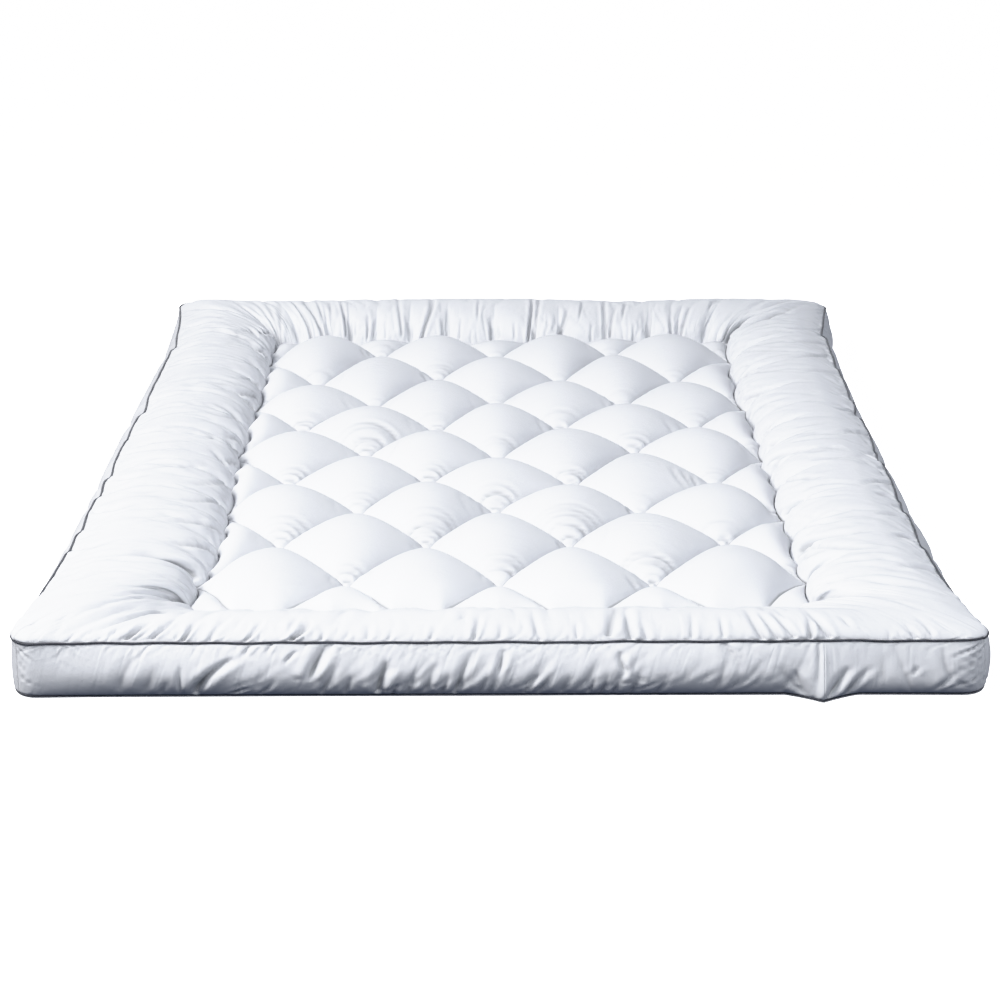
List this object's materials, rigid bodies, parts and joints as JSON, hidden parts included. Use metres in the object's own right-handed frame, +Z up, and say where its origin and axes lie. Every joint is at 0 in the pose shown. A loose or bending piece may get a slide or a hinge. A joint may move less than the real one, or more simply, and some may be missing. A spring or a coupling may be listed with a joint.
{
  "type": "mattress topper",
  "caption": "Filled cloth mattress topper with a diamond-quilted recessed middle, a puffed border, a bulging side wall and dark piping on its edge seams.",
  "frame": {"origin": "on the surface it rests on, below the middle of its bounding box", "axes": "+X across the topper, +Y along it from the front end with the joint seam to the back end, +Z up"},
  "size_m": [1.5206, 2.0656, 0.1192],
  "materials": {
    "top_cloth": "matte white closely woven cotton, quilted over fibre fill",
    "gusset_cloth": "matte white closely woven cotton",
    "base_cloth": "matte white woven cloth",
    "piping_cloth": "dark blue-grey twisted piping cord"
  },
  "bodies": {
    "root": {"filled_pad": "top_cloth", "gusset_front_long": "gusset_cloth", "gusset_front_short": "gusset_cloth", "gusset_right": "gusset_cloth", "gusset_back": "gusset_cloth", "gusset_left": "gusset_cloth", "base_panel": "base_cloth", "piping_top": "piping_cloth", "piping_bottom": "piping_cloth"}
  },
  "joints": []
}
